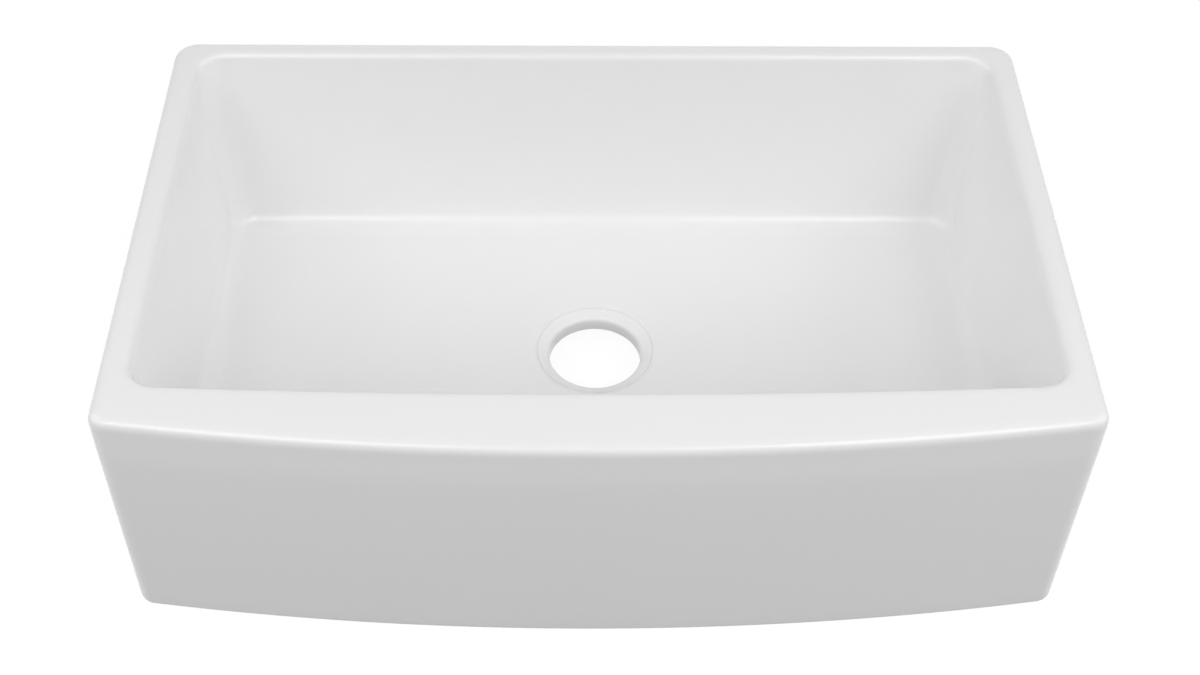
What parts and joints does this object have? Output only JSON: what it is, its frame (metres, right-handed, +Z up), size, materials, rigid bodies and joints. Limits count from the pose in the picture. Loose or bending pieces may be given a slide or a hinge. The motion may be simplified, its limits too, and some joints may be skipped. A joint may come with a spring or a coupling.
{
  "type": "farmhouse apron front sink",
  "caption": "Glazed farmhouse kitchen sink with a deep bowl, flat rim and bowed apron front, and an open round outlet whose flange is clamped from below and ends in a turning lock ring.",
  "frame": {"origin": "on the surface that the sink stands on, under the middle of its overall width and depth", "axes": "+Z up; -Y the way the apron faces; +X to the right of someone who stands at the sink"},
  "size_m": [0.8378, 0.5327, 0.254],
  "materials": {
    "glaze": "smooth white gloss glaze, bare fired clay under the foot",
    "enamel": "white gloss enamel on pressed steel",
    "seal_rubber": "white, satin",
    "fibre": "matt pressed fibre",
    "plated_steel": "dull zinc plate",
    "screw_steel": "bright zinc plate",
    "spring_steel": "dark sprung steel"
  },
  "bodies": {
    "sink": {"sink_body": "glaze", "drain_flange": "enamel", "flange_seal": "seal_rubber", "fibre_gasket": "fibre", "backup_ring": "plated_steel", "mounting_ring": "plated_steel", "mounting_screws": "screw_steel", "snap_ring": "spring_steel"},
    "lock": {"lock_ring": "plated_steel"}
  },
  "joints": [
    {"name": "lock_turn", "type": "hinge", "parent": "sink", "child": "lock", "pos_m": [0, 0.047, 0.0205], "axis": [0, 0, 1], "range_deg": [0, 60]}
  ]
}
